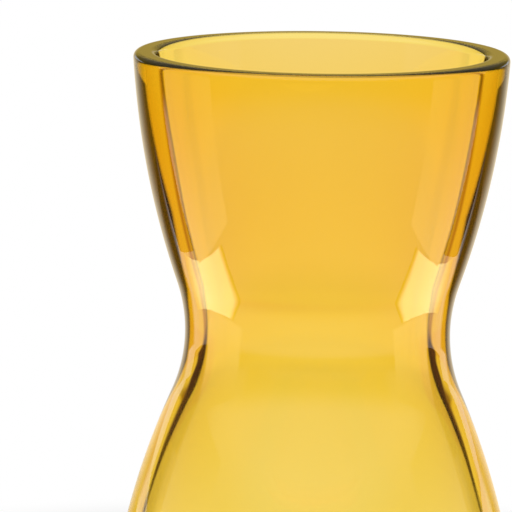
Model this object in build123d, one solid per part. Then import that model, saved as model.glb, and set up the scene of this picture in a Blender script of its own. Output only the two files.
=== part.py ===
from build123d import *
import os

# Outside of the vase, in millimetres. The lower bulb stands on the table, and the waist on the bulb.
vessel_height = 220.0
mouth_radius = 59.7
flare_sweep = 271.0
waist_above_shoulder = 58.3
waist_radius = 42.5
waist_bend = 49.8
shoulder_height = 72.0
shoulder_radius = 59.9
shoulder_sweep = 264.0
belly_bend = 115.0
foot_radius = 45.0

# Glass: the wall is thickest in the flare, thinner below the waist, and pools in the base.
lip_wall = 7.4
waist_wall = 6.9
shoulder_wall = 5.1
base_thickness = 16.0
bore_waist_rise = 3.0
bore_flare_sweep = 440.0
bore_belly_bend = 104.0
bore_floor_radius = 31.5

# Underside: a shallow polished hollow inside the flat ring that was ground to stand on.
punt_radius = 29.0
punt_depth = 3.2

# Edges: the lip is fire-polished round, and the ground foot ring has its sharpness taken off flat.
lip_outer_round = 1.9
lip_inner_round = 2.2
foot_outer_bevel = 0.9
foot_inner_bevel = 0.6

axis_out = Vector(1, 0)
axis_down = Vector(0, -1)


def common_centre(centre_a, reach_a, centre_b, reach_b):
    """The point at reach_a from centre_a and reach_b from centre_b, on the side of the axis."""
    apart = centre_b - centre_a
    along = (apart.length**2 + reach_a**2 - reach_b**2) / (2 * apart.length)
    across = (reach_a**2 - along**2) ** 0.5
    onward = apart.normalized()
    sideways = Vector(-onward.Y, onward.X)
    foot_of_height = centre_a + onward * along
    found = (foot_of_height + sideways * across, foot_of_height - sideways * across)
    return min(found, key=lambda point: point.X)


def toward(start, goal, distance):
    """The point at a distance from start in the direction of goal."""
    return start + (goal - start).normalized() * distance


class Hourglass:
    """One side of the wall in section, from the mouth to the widest level of the lower bulb.

    Four arcs meet without a corner: the flare sweeps into the bend of the waist, the bend
    into the long sweep of the shoulder, and the shoulder turns upright at the belly.
    """

    def __init__(self, mouth, flare, waist, bend, shoulder, sweep, turn):
        bend_centre = waist + axis_out * bend
        flare_centre = common_centre(bend_centre, bend + flare, mouth, flare)
        sweep_centre = common_centre(bend_centre, bend + sweep, shoulder, sweep)
        turn_centre = toward(shoulder, sweep_centre, turn)
        self.mouth = mouth
        self.flare_end = toward(bend_centre, flare_centre, bend)
        self.sweep_start = toward(bend_centre, sweep_centre, bend)
        self.shoulder = shoulder
        self.belly = turn_centre + axis_out * turn
        self.flare_start_way = (mouth - flare_centre).rotate(Axis.Z, -90)

    def draw(self):
        """Draws the four arcs, each leaving in the direction in which the last one arrives."""
        flare = TangentArc(self.mouth, self.flare_end, tangent=self.flare_start_way)
        bend = TangentArc(self.flare_end, self.sweep_start, tangent=flare % 1)
        sweep = TangentArc(self.sweep_start, self.shoulder, tangent=bend % 1)
        TangentArc(self.shoulder, self.belly, tangent=sweep % 1)


def outside():
    """The outer side, through the sizes measured on the silhouette."""
    mouth = Vector(mouth_radius, vessel_height)
    waist = Vector(waist_radius, shoulder_height + waist_above_shoulder)
    shoulder = Vector(shoulder_radius, shoulder_height)
    return Hourglass(
        mouth, flare_sweep, waist, waist_bend, shoulder, shoulder_sweep, belly_bend
    )


def inside():
    """The inner side, set in from the outer one by the wall at the lip, waist and shoulder."""
    mouth = Vector(mouth_radius - lip_wall, vessel_height)
    waist_height = shoulder_height + waist_above_shoulder + bore_waist_rise
    waist = Vector(waist_radius - waist_wall, waist_height)
    shoulder = Vector(shoulder_radius - shoulder_wall, shoulder_height)
    return Hourglass(
        mouth,
        bore_flare_sweep,
        waist,
        waist_bend + waist_wall,
        shoulder,
        shoulder_sweep - shoulder_wall,
        bore_belly_bend,
    )


def draw_underside(belly):
    """From the belly round the heel to the ground foot ring, and over the punt to the axis."""
    foot_edge = Vector(foot_radius, 0)
    punt_edge = Vector(punt_radius, 0)
    punt_top = Vector(0, punt_depth)
    TangentArc(belly, foot_edge, tangent=axis_down)
    Line(foot_edge, punt_edge)
    TangentArc(punt_top, punt_edge, tangent=axis_out)


def draw_well(belly):
    """The inner side of the base: from the upright inner belly round to the level floor."""
    floor_edge = Vector(bore_floor_radius, base_thickness)
    TangentArc(belly, floor_edge, tangent=axis_down)
    Line(floor_edge, Vector(0, base_thickness))


def corner_near(section, place):
    """The corner of the section that lies nearest to a point."""
    return min(section.vertices(), key=lambda v: (Vector(v) - place).length)


def glass_section():
    """Half of the vase cut through its axis, with the radius along X and the height along Y."""
    outer = outside()
    inner = inside()
    with BuildSketch() as section:
        with BuildLine():
            outer.draw()
            draw_underside(outer.belly)
            Line(Vector(0, punt_depth), Vector(0, base_thickness))
            draw_well(inner.belly)
            inner.draw()
            Line(inner.mouth, outer.mouth)
        make_face()
        fillet(corner_near(section, outer.mouth), lip_outer_round)
        fillet(corner_near(section, inner.mouth), lip_inner_round)
        chamfer(corner_near(section, Vector(foot_radius, 0)), foot_outer_bevel)
        chamfer(corner_near(section, Vector(punt_radius, 0)), foot_inner_bevel)
    return section.sketch, outer, inner


def blow_vessel():
    """The one piece of glass: the section turned once round the upright axis."""
    section, outer, inner = glass_section()
    upright = Plane.XZ * section
    return revolve(upright, axis=Axis.Z), outer, inner


os.makedirs("parts", exist_ok=True)
vessel, outer_side, inner_side = blow_vessel()
vessel.label = "vessel"
export_step(vessel, "parts/vessel.step")
print("belly radius", round(outer_side.belly.X, 2), "at height", round(outer_side.belly.Y, 2))
print("inner belly radius", round(inner_side.belly.X, 2), "at", round(inner_side.belly.Y, 2))
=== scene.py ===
"""The hourglass vase of amber glass: one blown piece, on a pale floor under soft studio light."""

import math

import bpy
from mathutils import Matrix, Vector, noise


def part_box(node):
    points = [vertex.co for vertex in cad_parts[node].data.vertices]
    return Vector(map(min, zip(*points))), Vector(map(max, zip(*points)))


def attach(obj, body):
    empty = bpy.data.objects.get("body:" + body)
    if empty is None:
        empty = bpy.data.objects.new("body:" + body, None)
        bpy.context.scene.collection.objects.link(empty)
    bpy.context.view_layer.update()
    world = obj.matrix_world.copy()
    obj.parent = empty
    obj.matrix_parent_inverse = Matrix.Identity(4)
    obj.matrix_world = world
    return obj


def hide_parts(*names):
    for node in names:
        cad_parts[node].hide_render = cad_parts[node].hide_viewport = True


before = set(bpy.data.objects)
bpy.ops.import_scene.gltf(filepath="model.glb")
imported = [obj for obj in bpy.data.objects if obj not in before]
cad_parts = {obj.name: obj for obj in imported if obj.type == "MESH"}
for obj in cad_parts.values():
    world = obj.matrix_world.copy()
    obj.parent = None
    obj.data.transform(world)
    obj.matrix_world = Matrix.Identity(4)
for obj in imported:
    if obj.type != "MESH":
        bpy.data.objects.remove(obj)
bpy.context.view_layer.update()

MM = 0.001
BODY = "root"
NODE = "vessel"

# Outside of the vase. Its height comes from the frame, the rest repeats the part's sizes.
vessel_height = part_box(NODE)[1].z
mouth_radius = 59.7 * MM
flare_sweep = 271.0 * MM
waist_above_shoulder = 58.3 * MM
waist_radius = 42.5 * MM
waist_bend = 49.8 * MM
shoulder_height = 72.0 * MM
shoulder_radius = 59.9 * MM
shoulder_sweep = 264.0 * MM
belly_bend = 115.0 * MM
foot_radius = 45.0 * MM

# Glass
lip_wall = 7.4 * MM
waist_wall = 6.9 * MM
shoulder_wall = 5.1 * MM
base_thickness = 16.0 * MM
bore_waist_rise = 3.0 * MM
bore_flare_sweep = 440.0 * MM
bore_belly_bend = 104.0 * MM
bore_floor_radius = 31.5 * MM

# Underside and edges. The part's foot ring is bevelled, and here the same corners are rounded.
punt_radius = 29.0 * MM
punt_depth = 3.2 * MM
lip_outer_round = 1.9 * MM
lip_inner_round = 2.2 * MM
foot_outer_round = 0.9 * MM
foot_inner_round = 0.6 * MM

# Fineness of the turned mesh. Rows keep a little clear of the lip's roundings, and an arc that ends
# within flat_enough of the straight line along its start is drawn straight.
sides = 192
row_step = 1.35 * MM
corner_row_step = 0.35 * MM
well_row_step = 2.7 * MM
lip_row_clearance = 1.05
flat_enough = 0.000001 * MM

# The blower's touch: bore and skin wander a little, and come to rest at the lip and the base.
bore_wander = 0.16 * MM
bore_seed = 1.7
skin_wander = 0.05 * MM
skin_seed = 5.3
wander_size = 34.0 * MM
wander_fades_over = 12.0 * MM
ripple_turns = 5
ripple_twist = 9.0
ripple_share = 0.35

# How much of each colour a metre of the glass takes away, and how strongly it bends light
absorbed_per_metre = (4.0, 37.0, 230.0)
glass_ior = 1.5

# Painted shade: where the glass is seen edge-on its colour is painted dark, as far in as the reach says, in
# the cosine of the viewing angle. On the outside the painted shade fades in below the waist and goes further
# in where the flare leans out.
REACH = "painted_shade_reach"
outside_reach = 0.27
leaning_reach = 0.6
leaning_between = (141.0 * MM, 172.0 * MM)
dark_between = (95.0 * MM, 122.0 * MM)
bore_reach = 0.19
lip_reach = 0.19
lip_depth = 2.4 * MM
lip_clear = 8.0 * MM
edge_softness = 0.025
painted_edge_shade = (0.006, 0.004, 0.0005, 1.0)

# White, and the sockets of a node that mixes colours
WHITE = (1.0, 1.0, 1.0, 1.0)
MIX_FIRST = 6
MIX_SECOND = 7
MIX_RESULT = 2

# Each pair of numbers below gives the two ends of a smooth change. For the floor they are distances
# from the vase's middle in metres, or shares of a direction along an axis, from 0 to 1. For the world
# they are such shares too. "Behind" is beyond the vase as the camera sees it, and "before" is on the
# camera's side of it.

# The floor: pale under the vase, and plain white further off to the camera and through the glass
floor_reach = 6.0
floor_colour = (0.80, 0.80, 0.80, 1.0)
floor_white = (0.14, 0.32)
floor_far_colour = (0.97, 0.885, 0.97, 1.0)
floor_far = (1.18, 1.42)

# What the glass mirrors of the floor: white, but dim further off on the camera's side
floor_mirrored = (0.10, 0.25)
floor_before = (0.2, -0.1)
floor_before_far = (0.45, 0.95)
floor_before_light = 0.12

# A strip of the floor behind the vase that only mirrors. It runs from light gold to dark gold, and
# gives the edges of the flare their shades. Another one lies further to the sides.
strip_inner = (0.95, 0.985)
strip_outer_near = 0.66
strip_outer_far = 0.79
strip_widens = (0.74, 0.88)
strip_blur = 0.04
strip_near = (0.22, 0.34)
strip_far = (2.4, 4.0)
strip_fade = (0.77, 0.95)
side_strip = (0.44, 0.54)
side_strip_near = (0.75, 0.95)
side_strip_behind = (0.0, 0.1)
light_gold = (1.05, 0.88, 0.60, 1.0)
strip_dark_gold = (0.26, 0.15, 0.015, 1.0)

# Two dark gaps behind the vase, one to each side, that show only through the glass. They draw the
# line of the inner wall. Their inner edge lies further out low down, and on the floor further out near
# the vase.
gap_edge = 0.615
gap_edge_low = 0.67
gap_edge_floor = 0.78
gap_low = (0.0, 0.07)
gap_floor = (0.8, 5.0)
gap_blur = 0.03
gap_end = (0.79, 0.87)
gap_behind_floor = (0.0, 0.05)
gap_behind_world = (0.0, 0.1)
gap_shade = (0.8, 2.0)
gap_near_colour = (0.50, 0.34, 0.10, 1.0)
gap_far_colour = (0.07, 0.04, 0.01, 1.0)

# The world is plain white to the camera. In the glass it is white low down, with dark walls above
# that and a bright ceiling. The light that it sheds on the floor is even.
world_light = 0.55
low_white_ends = (0.05, 0.12)
before_side = (0.3, -0.2)
low_white_before = 0.15
low_white_behind = 0.2
ceiling = (0.16, 0.50)
ceiling_light = 1.1
ceiling_light_behind = 0.2
wall_colour = (0.34, 0.25, 0.05, 1.0)
side_wall = (0.84, 0.91)
side_wall_colour = (0.45, 0.42, 0.34, 1.0)
back_wall_sides = (0.20, 0.42)
back_wall_behind = (0.0, 0.3)
back_wall_colour = (0.68, 0.49, 0.10, 1.0)

# A tall card on each side, mirrored as the upright streak
reflector_away = 300.0 * MM
reflector_front = -135.0 * MM
reflector_back = 70.0 * MM
reflector_top = 200.0 * MM
reflector_lights = (2.0, 0.45)
reflector_colour = (1.0, 0.98, 0.75, 1.0)

# A bright card that lies on the floor on each side, mirrored as the patch above the waist
glow_near = 190.0 * MM
glow_far_front = 284.0 * MM
glow_far_back = 323.0 * MM
glow_front = -78.0 * MM
glow_back = 200.0 * MM
glow_even = 60.0 * MM
glow_soft = 26.0 * MM
glow_lift = 1.0 * MM
glow_lights = (5.7, 1.3)
glow_colour = (1.0, 0.97, 0.60, 1.0)

# A dark flag on each side that hides those cards from the flare
flag_away = 130.0 * MM
flag_front = 8.0 * MM
flag_back = 60.0 * MM
flag_foot = 110.0 * MM
flag_dark = 190.0 * MM
flag_top = 216.0 * MM
flag_lights = (0.1, 0.0)

# Two screens on each side behind the vase, mirrored in the edges of the flare
screen_back = 150.0 * MM
screen_inner = 40.0 * MM
screen_middle = 112.0 * MM
screen_outer = 240.0 * MM
screen_inner_foot = 103.0 * MM
screen_middle_foot = 112.0 * MM
screen_outer_foot = 136.0 * MM
screen_top = 216.0 * MM
screen_fade = (92.0 * MM, 188.0 * MM)
screen_lights = (1.0, 1.0)
screen_dark_gold = (0.38, 0.21, 0.015, 1.0)

# One soft light overhead, in metres and watts. Its aim is a share of the vase's height.
panel_height = 1.6
panel_size = 1.4
panel_power = 9.0
panel_aim = 0.6

# The photograph's view, in metres and degrees
camera_distance = 1.2
camera_height = 0.36535
camera_pitch = 9.976
camera_yaw = 0.954
camera_roll = 0.747
camera_lens = 268.53
camera_sensor = 36.0
camera_clips = (0.05, 50.0)

AXIS_OUT = Vector((1.0, 0.0))
AXIS_DOWN = Vector((0.0, -1.0))


def common_centre(centre_a, reach_a, centre_b, reach_b):
    """The point at reach_a from centre_a and reach_b from centre_b, on the side of the axis."""
    apart = centre_b - centre_a
    along = (apart.length**2 + reach_a**2 - reach_b**2) / (2 * apart.length)
    across = math.sqrt(reach_a**2 - along**2)
    onward = apart.normalized()
    sideways = Vector((-onward.y, onward.x))
    base = centre_a + onward * along
    return min((base + sideways * across, base - sideways * across), key=lambda point: point.x)


def toward(start, goal, distance):
    """The point at a distance from start in the direction of goal."""
    return start + (goal - start).normalized() * distance


def line_points(start, end, step):
    """Points on a straight run, its start left out."""
    count = max(1, round((end - start).length / step))
    return [start.lerp(end, (index + 1) / count) for index in range(count)]


def arc_points(start, end, tangent, step):
    """Points on the arc that leaves start along tangent and ends at end, its start left out."""
    chord = end - start
    side = Vector((-tangent.y, tangent.x)).normalized()
    across = chord.dot(side)
    if abs(across) < flat_enough:
        return line_points(start, end, step)
    radius = chord.length_squared / (2 * across)
    centre = start + side * radius
    first = math.atan2(start.y - centre.y, start.x - centre.x)
    turn = 2 * math.atan2(across, chord.dot(tangent.normalized()))
    count = max(2, round(abs(radius * turn) / step))
    spokes = [first + turn * (index + 1) / count for index in range(count)]
    return [centre + Vector((math.cos(a), math.sin(a))) * abs(radius) for a in spokes]


def corner_arc(before, corner, after, radius, step):
    """The rounding of a corner between two straight ways: its first point and the points of its arc."""
    way_in = (corner - before).normalized()
    way_out = (after - corner).normalized()
    back = radius * math.tan(way_in.angle(way_out) / 2)
    first = corner - way_in * back
    last = corner + way_out * back
    return first, arc_points(first, last, way_in, step)


class Hourglass:
    """One side of the wall in section: where its four arcs meet, from the mouth to the belly."""

    def __init__(self, mouth, flare, waist, bend, shoulder, sweep, turn):
        bend_centre = waist + AXIS_OUT * bend
        flare_centre = common_centre(bend_centre, bend + flare, mouth, flare)
        sweep_centre = common_centre(bend_centre, bend + sweep, shoulder, sweep)
        turn_centre = toward(shoulder, sweep_centre, turn)
        flare_end = toward(bend_centre, flare_centre, bend)
        sweep_start = toward(bend_centre, sweep_centre, bend)
        self.mouth = mouth
        self.belly = turn_centre + AXIS_OUT * turn
        self.arcs = [
            (flare_centre, mouth, flare_end),
            (bend_centre, flare_end, sweep_start),
            (sweep_centre, sweep_start, shoulder),
            (turn_centre, shoulder, self.belly),
        ]

    def points(self, step):
        """Points from the mouth down to the belly, both ends with them."""
        found = [self.mouth]
        for centre, start, end in self.arcs:
            spoke = start - centre
            way = Vector((-spoke.y, spoke.x))
            if way.y > 0:
                way = -way
            found += arc_points(start, end, way.normalized(), step)
        return found


def trimmed(points, corner, distance):
    """The points further than a distance from a corner."""
    return [point for point in points if (point - corner).length > distance]


def wall_sides():
    """The outer and the inner side of the wall, from the named sizes."""
    waist_height = shoulder_height + waist_above_shoulder
    outer = Hourglass(
        Vector((mouth_radius, vessel_height)),
        flare_sweep,
        Vector((waist_radius, waist_height)),
        waist_bend,
        Vector((shoulder_radius, shoulder_height)),
        shoulder_sweep,
        belly_bend,
    )
    inner = Hourglass(
        Vector((mouth_radius - lip_wall, vessel_height)),
        bore_flare_sweep,
        Vector((waist_radius - waist_wall, waist_height + bore_waist_rise)),
        waist_bend + waist_wall,
        Vector((shoulder_radius - shoulder_wall, shoulder_height)),
        shoulder_sweep - shoulder_wall,
        bore_belly_bend,
    )
    return outer, inner


def section_points():
    """The wall in section: from the punt's middle round the outside to the lip, and back down the bore."""
    outer, inner = wall_sides()
    punt_top = Vector((0.0, punt_depth))
    punt_edge = Vector((punt_radius, 0.0))
    foot_edge = Vector((foot_radius, 0.0))

    punt = [punt_top] + arc_points(punt_top, punt_edge, AXIS_OUT, row_step)
    punt = trimmed(punt, punt_edge, foot_inner_round)
    punt_first, punt_bend = corner_arc(punt[-1], punt_edge, foot_edge, foot_inner_round, corner_row_step)

    heel = [outer.belly] + arc_points(outer.belly, foot_edge, AXIS_DOWN, row_step)
    heel = trimmed(heel, foot_edge, foot_outer_round)
    heel.reverse()
    foot_first, foot_bend = corner_arc(punt_edge, foot_edge, heel[0], foot_outer_round, corner_row_step)
    ring = line_points(punt_bend[-1], foot_first, row_step)

    outside = outer.points(row_step)
    outside.reverse()
    outside = trimmed(outside[1:], outer.mouth, lip_outer_round * lip_row_clearance)
    lip_first, lip_bend = corner_arc(
        outside[-1], outer.mouth, inner.mouth, lip_outer_round, corner_row_step
    )

    bore = trimmed(inner.points(row_step), inner.mouth, lip_inner_round * lip_row_clearance)
    rim_first, rim_bend = corner_arc(outer.mouth, inner.mouth, bore[0], lip_inner_round, corner_row_step)
    lip_flat = line_points(lip_bend[-1], rim_first, corner_row_step)

    well_edge = Vector((bore_floor_radius, base_thickness))
    well = arc_points(inner.belly, well_edge, AXIS_DOWN, row_step)
    well_floor = line_points(well_edge, Vector((0.0, base_thickness)), well_row_step)

    outer_run = punt + [punt_first] + punt_bend + ring + foot_bend + heel + outside + [lip_first] + lip_bend
    inner_run = lip_flat + rim_bend + bore + well + well_floor
    return outer_run, inner_run


def between(value, low, high):
    """How far value has come from low to high, from 0 to 1."""
    return max(0.0, min(1.0, (value - low) / (high - low)))


def wander(place, seed):
    """Smooth noise of about plus or minus 1 that changes over a length of wander_size."""
    return noise.noise(place / wander_size + Vector((seed, seed * 2.0, seed * 3.0)))


def turned_vertices(point, on_bore):
    """The ring of vertices that one point of the section makes, a little uneven as blown glass is."""
    near_lip = between(vessel_height - point.y, 0.0, wander_fades_over)
    near_base = between(point.y - base_thickness, 0.0, wander_fades_over)
    rest = min(near_lip, near_base)
    ring = []
    for index in range(sides):
        angle = math.tau * index / sides
        outward = Vector((math.cos(angle), math.sin(angle), 0.0))
        place = outward * point.x + Vector((0.0, 0.0, point.y))
        if on_bore:
            ripple = math.cos(ripple_turns * angle + ripple_twist * point.y / vessel_height)
            shift = bore_wander * rest * (wander(place, bore_seed) + ripple_share * ripple)
        else:
            shift = skin_wander * rest * (wander(place, skin_seed) - 1.0)
        ring.append(place + outward * shift)
    return ring


def painted_shade_reach(lean, height, on_bore):
    """How far in from an edge-on view the painted shade reaches at a vertex, in the cosine of the viewing
    angle.
    """
    if height > vessel_height - lip_depth:
        return lip_reach
    if on_bore:
        return bore_reach
    up = between(height, *dark_between)
    up *= between(vessel_height - height, 0.0, lip_clear)
    leaning = between(height, *leaning_between) * min(lean, 0.0)
    return up * (outside_reach - leaning_reach * leaning)


def make_vessel():
    """The closed glass mesh, turned round the upright axis."""
    outer_run, inner_run = section_points()
    outer_rings = outer_run[1:]
    inner_rings = inner_run[:-1]
    vertices = [Vector((0.0, 0.0, outer_run[0].y))]
    for point in outer_rings:
        vertices += turned_vertices(point, False)
    bore_starts = len(vertices)
    for point in inner_rings:
        vertices += turned_vertices(point, True)
    top = len(vertices)
    vertices.append(Vector((0.0, 0.0, inner_run[-1].y)))
    last_row = len(outer_rings) + len(inner_rings) - 1

    def at(row, side):
        """The number of the vertex in a row, counted round the vase."""
        return 1 + row * sides + side % sides

    faces = [(0, at(0, side + 1), at(0, side)) for side in range(sides)]
    for row in range(last_row):
        faces += [(at(row, s), at(row, s + 1), at(row + 1, s + 1), at(row + 1, s)) for s in range(sides)]
    faces += [(top, at(last_row, side), at(last_row, side + 1)) for side in range(sides)]

    mesh = bpy.data.meshes.new("amber_vase")
    mesh.from_pydata(vertices, [], faces)
    mesh.shade_smooth()
    mesh.update()
    reach = mesh.attributes.new(REACH, "FLOAT", "POINT")
    for vertex, found in zip(mesh.vertices, reach.data):
        found.value = painted_shade_reach(vertex.normal.z, vertex.co.z, vertex.index >= bore_starts)
    piece = bpy.data.objects.new("amber_vase", mesh)
    bpy.context.scene.collection.objects.link(piece)
    return piece


class Nodes:
    """Short ways to add and join the shader nodes of a material or a world."""

    def __init__(self, owner):
        owner.use_nodes = True
        self.tree = owner.node_tree
        self.tree.nodes.clear()

    def add(self, kind, settings=None, **inputs):
        """A new node with its settings, and with values or joined outputs in its named inputs."""
        node = self.tree.nodes.new(kind)
        for name, value in (settings or {}).items():
            setattr(node, name, value)
        for name, value in inputs.items():
            self.feed(node.inputs[name.replace("_", " ")], value)
        return node

    def feed(self, socket, value):
        """Joins an output to a socket, or sets the socket to a plain value."""
        if isinstance(value, bpy.types.NodeSocket):
            self.tree.links.new(value, socket)
        else:
            socket.default_value = value

    def math(self, operation, first, second=0.0, clamp=False):
        """The result of one sum."""
        node = self.add("ShaderNodeMath", {"operation": operation, "use_clamp": clamp})
        self.feed(node.inputs[0], first)
        self.feed(node.inputs[1], second)
        return node.outputs[0]

    def times(self, first, *others):
        """The product of all values."""
        product = first
        for other in others:
            product = self.math("MULTIPLY", product, other)
        return product

    def ramp(self, value, low, high, to_low=0.0, to_high=1.0):
        """A smooth run from to_low to to_high while value goes from low to high."""
        node = self.add("ShaderNodeMapRange", {"interpolation_type": "SMOOTHSTEP"})
        ends = {"Value": value, "From Min": low, "From Max": high, "To Min": to_low, "To Max": to_high}
        for name, setting in ends.items():
            self.feed(node.inputs[name], setting)
        return node.outputs["Result"]

    def past(self, value, limit, blur):
        """0 below a limit and 1 above it, with a blur to both sides."""
        return self.ramp(self.math("SUBTRACT", value, limit), -blur, blur)

    def dimmed(self, where, light):
        """1 where nothing is marked, and down to a light where all is."""
        return self.ramp(where, 0.0, 1.0, 1.0, light)

    def blend(self, factor, first, second):
        """The colour first where the factor is 0, second where it is 1."""
        node = self.add("ShaderNodeMix", {"data_type": "RGBA"}, Factor=factor)
        self.feed(node.inputs[MIX_FIRST], first)
        self.feed(node.inputs[MIX_SECOND], second)
        return node.outputs[MIX_RESULT]

    def split(self, vector):
        """The parts X, Y and Z of a vector."""
        return self.add("ShaderNodeSeparateXYZ", Vector=vector).outputs

    def mirrored(self, path):
        """1 for light that a surface mirrors, and 0 for light that passes through the glass."""
        return self.math("SUBTRACT", path["Is Glossy Ray"], path["Is Transmission Ray"], clamp=True)


def glass_material():
    """Clear amber glass, coloured through, with painted shade where the flare and the lip are seen edge-on.
    """
    material = bpy.data.materials.new("amber_glass")
    nodes = Nodes(material)
    # With a blend of one half, Facing is 1 less the cosine of the viewing angle.
    grazing = nodes.add("ShaderNodeLayerWeight", Blend=0.5).outputs["Facing"]
    reach = nodes.add("ShaderNodeAttribute", {"attribute_name": REACH}).outputs["Fac"]
    # Painted shade: the glass's colour is painted dark where it is seen edge-on, past the reach stored on
    # each vertex.
    edge = nodes.ramp(nodes.math("ADD", grazing, reach), 1.0 - edge_softness, 1.0 + edge_softness)
    glass = nodes.add(
        "ShaderNodeBsdfPrincipled",
        Base_Color=nodes.blend(edge, WHITE, painted_edge_shade),
        Roughness=0.0,
        IOR=glass_ior,
        Transmission_Weight=1.0,
    )
    strongest = max(absorbed_per_metre)
    kept = [1.0 - amount / strongest for amount in absorbed_per_metre]
    body = nodes.add("ShaderNodeVolumeAbsorption", Color=(*kept, 1.0), Density=strongest)
    nodes.add(
        "ShaderNodeOutputMaterial",
        Surface=glass.outputs["BSDF"],
        Volume=body.outputs["Volume"],
    )
    return material


def floor_strip(nodes, straight, distance):
    """Where the floor behind the vase mirrors gold, from 0 to 1."""
    limit = nodes.ramp(distance, *strip_widens, strip_outer_near, strip_outer_far)
    middle = nodes.past(straight, limit, strip_blur)
    beside = nodes.times(
        nodes.ramp(straight, *side_strip, 1.0, 0.0),
        nodes.ramp(distance, *side_strip_near),
        nodes.ramp(straight, *side_strip_behind),
    )
    return nodes.times(
        nodes.math("MAXIMUM", middle, beside),
        nodes.ramp(straight, *strip_inner, 1.0, 0.0),
        nodes.ramp(distance, *strip_near),
        nodes.ramp(distance, *strip_far, 1.0, 0.0),
    )


def floor_gaps(nodes, aside, backward, distance):
    """Where the floor behind the vase is dark through the glass, from 0 to 1."""
    limit = nodes.ramp(distance, *gap_floor, gap_edge_floor, gap_edge_low)
    return nodes.times(
        nodes.past(aside, limit, gap_blur),
        nodes.ramp(aside, *gap_end, 1.0, 0.0),
        nodes.ramp(backward, *gap_behind_floor),
    )


def floor_material():
    """Pale where the vase stands, and shining of itself in what the camera and the glass see further off."""
    material = bpy.data.materials.new("pale_floor")
    nodes = Nodes(material)
    path = nodes.add("ShaderNodeLightPath").outputs
    through = path["Is Transmission Ray"]
    place = nodes.add("ShaderNodeNewGeometry").outputs["Position"]
    distance = nodes.add("ShaderNodeVectorMath", {"operation": "LENGTH"}, Vector=place).outputs["Value"]
    split = nodes.split(place)
    backward = split["Y"]
    aside = nodes.math("DIVIDE", nodes.math("ABSOLUTE", split["X"]), distance)
    straight = nodes.math("DIVIDE", backward, distance)

    seen = nodes.math("MAXIMUM", path["Is Camera Ray"], through)
    plain_white = nodes.times(seen, nodes.ramp(distance, *floor_white))
    mirrored = nodes.times(nodes.mirrored(path), nodes.ramp(distance, *floor_mirrored))
    before = nodes.times(nodes.ramp(backward, *floor_before), nodes.ramp(distance, *floor_before_far))
    shine = nodes.times(mirrored, nodes.dimmed(before, floor_before_light))

    plain = nodes.blend(nodes.times(through, nodes.ramp(distance, *floor_far)), WHITE, floor_far_colour)
    gold = nodes.blend(nodes.ramp(straight, *strip_fade, 1.0, 0.0), light_gold, strip_dark_gold)
    strip = nodes.times(mirrored, floor_strip(nodes, straight, distance))
    with_strip = nodes.blend(strip, plain, gold)
    dark = nodes.blend(nodes.ramp(distance, *gap_shade), gap_near_colour, gap_far_colour)
    gaps = nodes.times(through, floor_gaps(nodes, aside, backward, distance))
    colour = nodes.blend(gaps, with_strip, dark)

    pale = nodes.add("ShaderNodeBsdfDiffuse", Color=floor_colour)
    white = nodes.add("ShaderNodeEmission", Color=colour, Strength=nodes.math("ADD", plain_white, shine))
    mixed = nodes.add("ShaderNodeMixShader", Fac=nodes.math("ADD", plain_white, mirrored, clamp=True))
    nodes.feed(mixed.inputs[1], pale.outputs["BSDF"])
    nodes.feed(mixed.inputs[2], white.outputs["Emission"])
    nodes.add("ShaderNodeOutputMaterial", Surface=mixed.outputs["Shader"])
    return material


def flat_piece(name, corners, material):
    """A flat four-cornered piece of the stage."""
    mesh = bpy.data.meshes.new(name)
    mesh.from_pydata([Vector(corner) for corner in corners], [], [(0, 1, 2, 3)])
    mesh.materials.append(material)
    piece = bpy.data.objects.new(name, mesh)
    bpy.context.scene.collection.objects.link(piece)
    return piece


def add_floor():
    """A square floor with the vase at its middle."""
    reach = floor_reach
    corners = [(-reach, -reach, 0.0), (reach, -reach, 0.0), (reach, reach, 0.0), (-reach, reach, 0.0)]
    flat_piece("floor", corners, floor_material())


def add_world():
    """White to the camera. Through the glass and mirrored: white low down, dark walls, a bright ceiling."""
    world = bpy.data.worlds.new("studio")
    bpy.context.scene.world = world
    nodes = Nodes(world)
    path = nodes.add("ShaderNodeLightPath").outputs
    through = path["Is Transmission Ray"]
    mirrored = nodes.mirrored(path)
    way = nodes.split(nodes.add("ShaderNodeTexCoord").outputs["Generated"])
    height = way["Z"]
    backward = way["Y"]
    sideways = nodes.math("ABSOLUTE", way["X"])

    before = nodes.ramp(backward, *before_side)
    limit = nodes.ramp(height, *gap_low, gap_edge_low, gap_edge)
    beside = nodes.past(sideways, limit, gap_blur)
    back_wall = nodes.times(
        mirrored,
        nodes.ramp(sideways, *back_wall_sides, 1.0, 0.0),
        nodes.ramp(backward, *back_wall_behind),
    )

    low_white = nodes.times(
        nodes.dimmed(nodes.times(mirrored, before), low_white_before),
        nodes.ramp(height, *low_white_ends, 1.0, 0.0),
        nodes.dimmed(nodes.times(mirrored, beside), 0.0),
        nodes.dimmed(back_wall, low_white_behind),
    )
    behind = nodes.times(mirrored, nodes.math("SUBTRACT", 1.0, before))
    overhead = nodes.ramp(behind, 0.0, 1.0, ceiling_light, ceiling_light_behind)
    high_white = nodes.times(overhead, nodes.ramp(height, *ceiling))
    white = nodes.math("ADD", low_white, high_white)

    plain_walls = nodes.blend(back_wall, wall_colour, back_wall_colour)
    side = nodes.times(mirrored, nodes.ramp(sideways, *side_wall))
    walls = nodes.blend(side, plain_walls, side_wall_colour)
    whole_room = nodes.blend(white, walls, WHITE)
    gaps = nodes.times(
        through,
        beside,
        nodes.ramp(sideways, *gap_end, 1.0, 0.0),
        nodes.ramp(backward, *gap_behind_world),
    )
    room = nodes.blend(gaps, whole_room, gap_far_colour)

    by_glass = nodes.math("MAXIMUM", through, path["Is Glossy Ray"])
    lit = nodes.blend(by_glass, (world_light, world_light, world_light, 1.0), room)
    seen = nodes.blend(path["Is Camera Ray"], lit, WHITE)
    sky = nodes.add("ShaderNodeBackground", Color=seen, Strength=1.0)
    nodes.add("ShaderNodeOutputWorld", Surface=sky.outputs["Background"])


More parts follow.
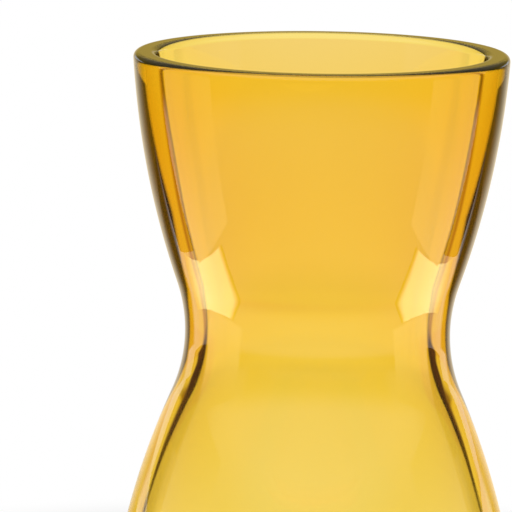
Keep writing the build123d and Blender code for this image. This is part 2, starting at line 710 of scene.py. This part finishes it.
def add_light():
    """A soft panel overhead that the camera doesn't see."""
    light = bpy.data.lights.new("top_panel", "AREA")
    light.shape = "RECTANGLE"
    light.size = panel_size
    light.size_y = panel_size
    light.energy = panel_power
    place = Vector((0.0, 0.0, panel_height))
    aim = Vector((0.0, 0.0, vessel_height * panel_aim))
    panel = bpy.data.objects.new("top_panel", light)
    panel.location = place
    panel.rotation_euler = (aim - place).to_track_quat("-Z", "Y").to_euler()
    panel.visible_camera = False
    panel.visible_glossy = False
    bpy.context.scene.collection.objects.link(panel)


def add_card(name, corners, colours, lights, axis, fade, soft_edge=None):
    """A flat card that only mirrors in the glass.

    Its colour and its light go from the first to the second between the ends of fade on an axis,
    or stay the same where both are equal.
    """
    material = bpy.data.materials.new(name)
    nodes = Nodes(material)
    along = nodes.split(nodes.add("ShaderNodeNewGeometry").outputs["Position"])[axis]
    colour = colours[0]
    if colours[0] != colours[1]:
        colour = nodes.blend(nodes.ramp(along, *fade), *colours)
    strength = lights[0]
    if lights[0] != lights[1]:
        strength = nodes.ramp(along, *fade, *lights)
    if soft_edge:
        strength = nodes.times(strength, nodes.ramp(along, *soft_edge))
    light = nodes.add("ShaderNodeEmission", Color=colour, Strength=strength)
    nodes.add("ShaderNodeOutputMaterial", Surface=light.outputs["Emission"])
    card = flat_piece(name, corners, material)
    card.visible_camera = False
    card.visible_diffuse = False
    card.visible_transmission = False
    card.visible_shadow = False


def upright_card(wall, front, back, foot, top):
    """The corners of a card that stands along the side of the vase."""
    return [(wall, front, foot), (wall, back, foot), (wall, back, top), (wall, front, top)]


def facing_card(away, inner, inner_foot, outer, outer_foot, top):
    """The corners of a card that stands square to the view behind the vase."""
    return [(inner, away, inner_foot), (outer, away, outer_foot), (outer, away, top), (inner, away, top)]


def add_cards(name, side):
    """The cards of one side: reflector, flag, two screens and the glow on the floor."""
    corners = upright_card(side * reflector_away, reflector_front, reflector_back, 0.0, reflector_top)
    colours = (reflector_colour, reflector_colour)
    add_card(name + "_reflector", corners, colours, reflector_lights, "Z", (0.0, reflector_top))
    corners = upright_card(side * flag_away, flag_front, flag_back, flag_foot, flag_top)
    add_card(name + "_flag", corners, colours, flag_lights, "Z", (flag_foot, flag_dark))

    inner = side * screen_inner
    middle = side * screen_middle
    outer = side * screen_outer
    colours = (light_gold, screen_dark_gold)
    fade = [side * end for end in screen_fade]
    corners = facing_card(screen_back, inner, screen_inner_foot, middle, screen_middle_foot, screen_top)
    add_card(name + "_inner_screen", corners, colours, screen_lights, "X", fade)
    corners = facing_card(screen_back, middle, screen_middle_foot, outer, screen_outer_foot, screen_top)
    add_card(name + "_outer_screen", corners, colours, screen_lights, "X", fade)

    corners = [
        (side * glow_near, glow_front, glow_lift),
        (side * glow_far_front, glow_front, glow_lift),
        (side * glow_far_back, glow_back, glow_lift),
        (side * glow_near, glow_back, glow_lift),
    ]
    colours = (glow_colour, glow_colour)
    soft_edge = (glow_front, glow_front + glow_soft)
    add_card(name + "_glow", corners, colours, glow_lights, "Y", (glow_even, glow_back), soft_edge)


def add_camera():
    """The photograph's view: a long lens from a little above, turned and tilted as the photograph shows."""
    pitch = math.radians(camera_pitch)
    yaw = math.radians(camera_yaw)
    roll = math.radians(camera_roll)
    onward = Vector(
        (-math.sin(yaw) * math.cos(pitch), math.cos(yaw) * math.cos(pitch), -math.sin(pitch))
    )
    level = Vector((math.cos(yaw), math.sin(yaw), 0.0))
    upward = level.cross(onward)
    right = level * math.cos(roll) + upward * math.sin(roll)
    up = upward * math.cos(roll) - level * math.sin(roll)
    turned = Matrix((right, up, -onward)).transposed().to_4x4()

    camera = bpy.data.cameras.new("photo_view")
    camera.sensor_width = camera_sensor
    camera.lens = camera_lens
    camera.clip_start, camera.clip_end = camera_clips
    view = bpy.data.objects.new("photo_view", camera)
    view.matrix_world = Matrix.Translation((0.0, -camera_distance, camera_height)) @ turned
    bpy.context.scene.collection.objects.link(view)
    bpy.context.scene.camera = view


vase = make_vessel()
vase.data.materials.append(glass_material())
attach(vase, BODY)
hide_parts(NODE)

add_floor()
add_world()
add_light()
add_cards("left", -1.0)
add_cards("right", 1.0)
add_camera()
bpy.context.scene.view_settings.view_transform = "Standard"
